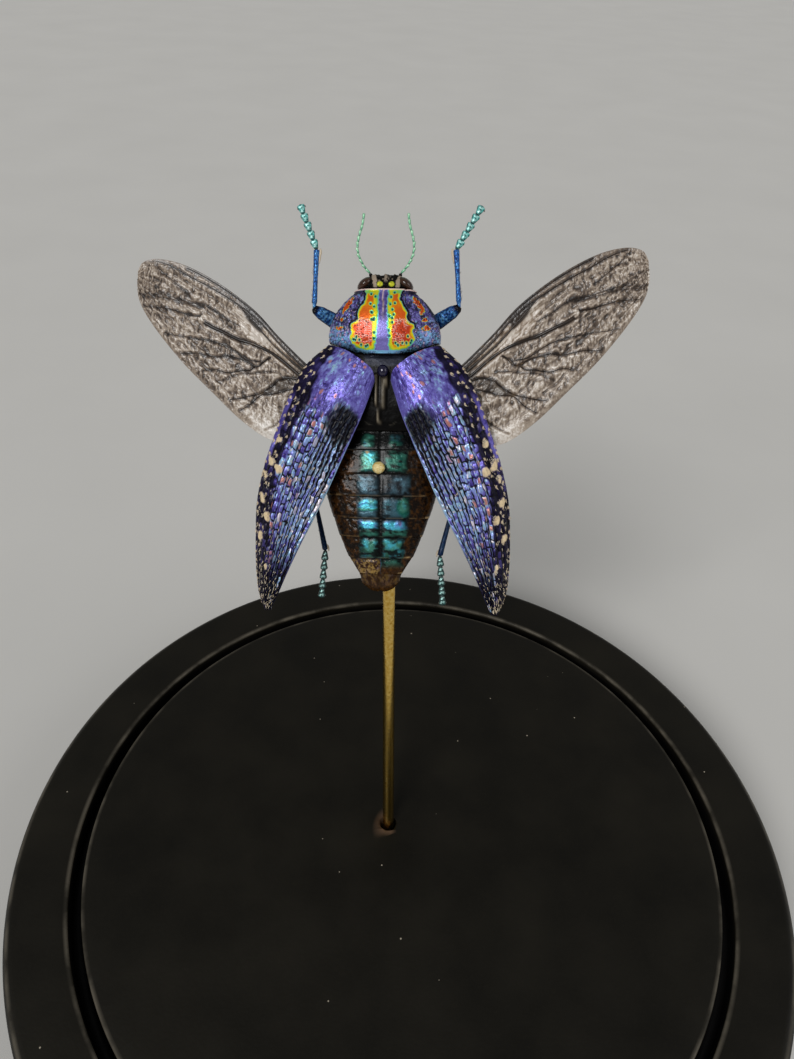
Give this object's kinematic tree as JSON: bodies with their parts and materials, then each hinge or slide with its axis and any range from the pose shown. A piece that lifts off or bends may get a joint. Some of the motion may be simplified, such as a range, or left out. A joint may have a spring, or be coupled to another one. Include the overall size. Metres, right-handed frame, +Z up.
{
  "type": "mounted jewel beetle on a display base",
  "caption": "Dried violet-blue jewel beetle with open wing cases and spread hindwings, held by a slanting brass rod above a round black wooden base with a groove for a glass dome.",
  "frame": {"origin": "centre of the round base's flat underside", "axes": "+Z up out of the base, +X to the beetle's right, +Y away from a viewer who faces the beetle's back"},
  "size_m": [0.102, 0.102, 0.085],
  "materials": {
    "black_wood": "matte black paint on turned wood, worn along the groove",
    "brass_rod": "drawn, slightly tarnished",
    "pin_bead": "pale yellow enamel bead",
    "head_cuticle": "black with cream stripes",
    "eye": "glossy dark brown, faceted",
    "antenna": "mint green, metallic",
    "pronotum_cuticle": "violet with orange, red, yellow and cyan metallic patches, pitted",
    "scutellum_cuticle": "glossy black",
    "thorax_cuticle": "dark brown with a tan ridge",
    "abdomen_cuticle": "teal and cyan metallic rings with amber brown sides",
    "elytron_cuticle": "violet-blue metallic, ribbed and pitted, with a black edge",
    "wing_membrane": "smoky brown, crinkled and glossy, with dark veins",
    "leg_cuticle": "deep blue metallic",
    "foot_cuticle": "turquoise metallic with pale lobes"
  },
  "bodies": {
    "root": {"base": "black_wood", "brass_rod": "brass_rod", "pin_head": "pin_bead", "head": "head_cuticle", "eye_left": "eye", "eye_right": "eye", "antenna_left": "antenna", "antenna_right": "antenna", "pronotum": "pronotum_cuticle", "scutellum": "scutellum_cuticle", "thorax": "thorax_cuticle", "abdomen": "abdomen_cuticle", "elytron_left": "elytron_cuticle", "elytron_right": "elytron_cuticle", "hindwing_left": "wing_membrane", "hindwing_right": "wing_membrane", "front_left_femur": "leg_cuticle", "front_left_tibia": "leg_cuticle", "front_left_tarsus": "foot_cuticle", "front_right_femur": "leg_cuticle", "front_right_tibia": "leg_cuticle", "front_right_tarsus": "foot_cuticle", "middle_left_femur": "leg_cuticle", "middle_left_tibia": "leg_cuticle", "middle_left_tarsus": "foot_cuticle", "middle_right_femur": "leg_cuticle", "middle_right_tibia": "leg_cuticle", "middle_right_tarsus": "foot_cuticle", "hind_left_femur": "leg_cuticle", "hind_left_tibia": "leg_cuticle", "hind_left_tarsus": "foot_cuticle", "hind_right_femur": "leg_cuticle", "hind_right_tibia": "leg_cuticle", "hind_right_tarsus": "foot_cuticle"}
  },
  "joints": []
}
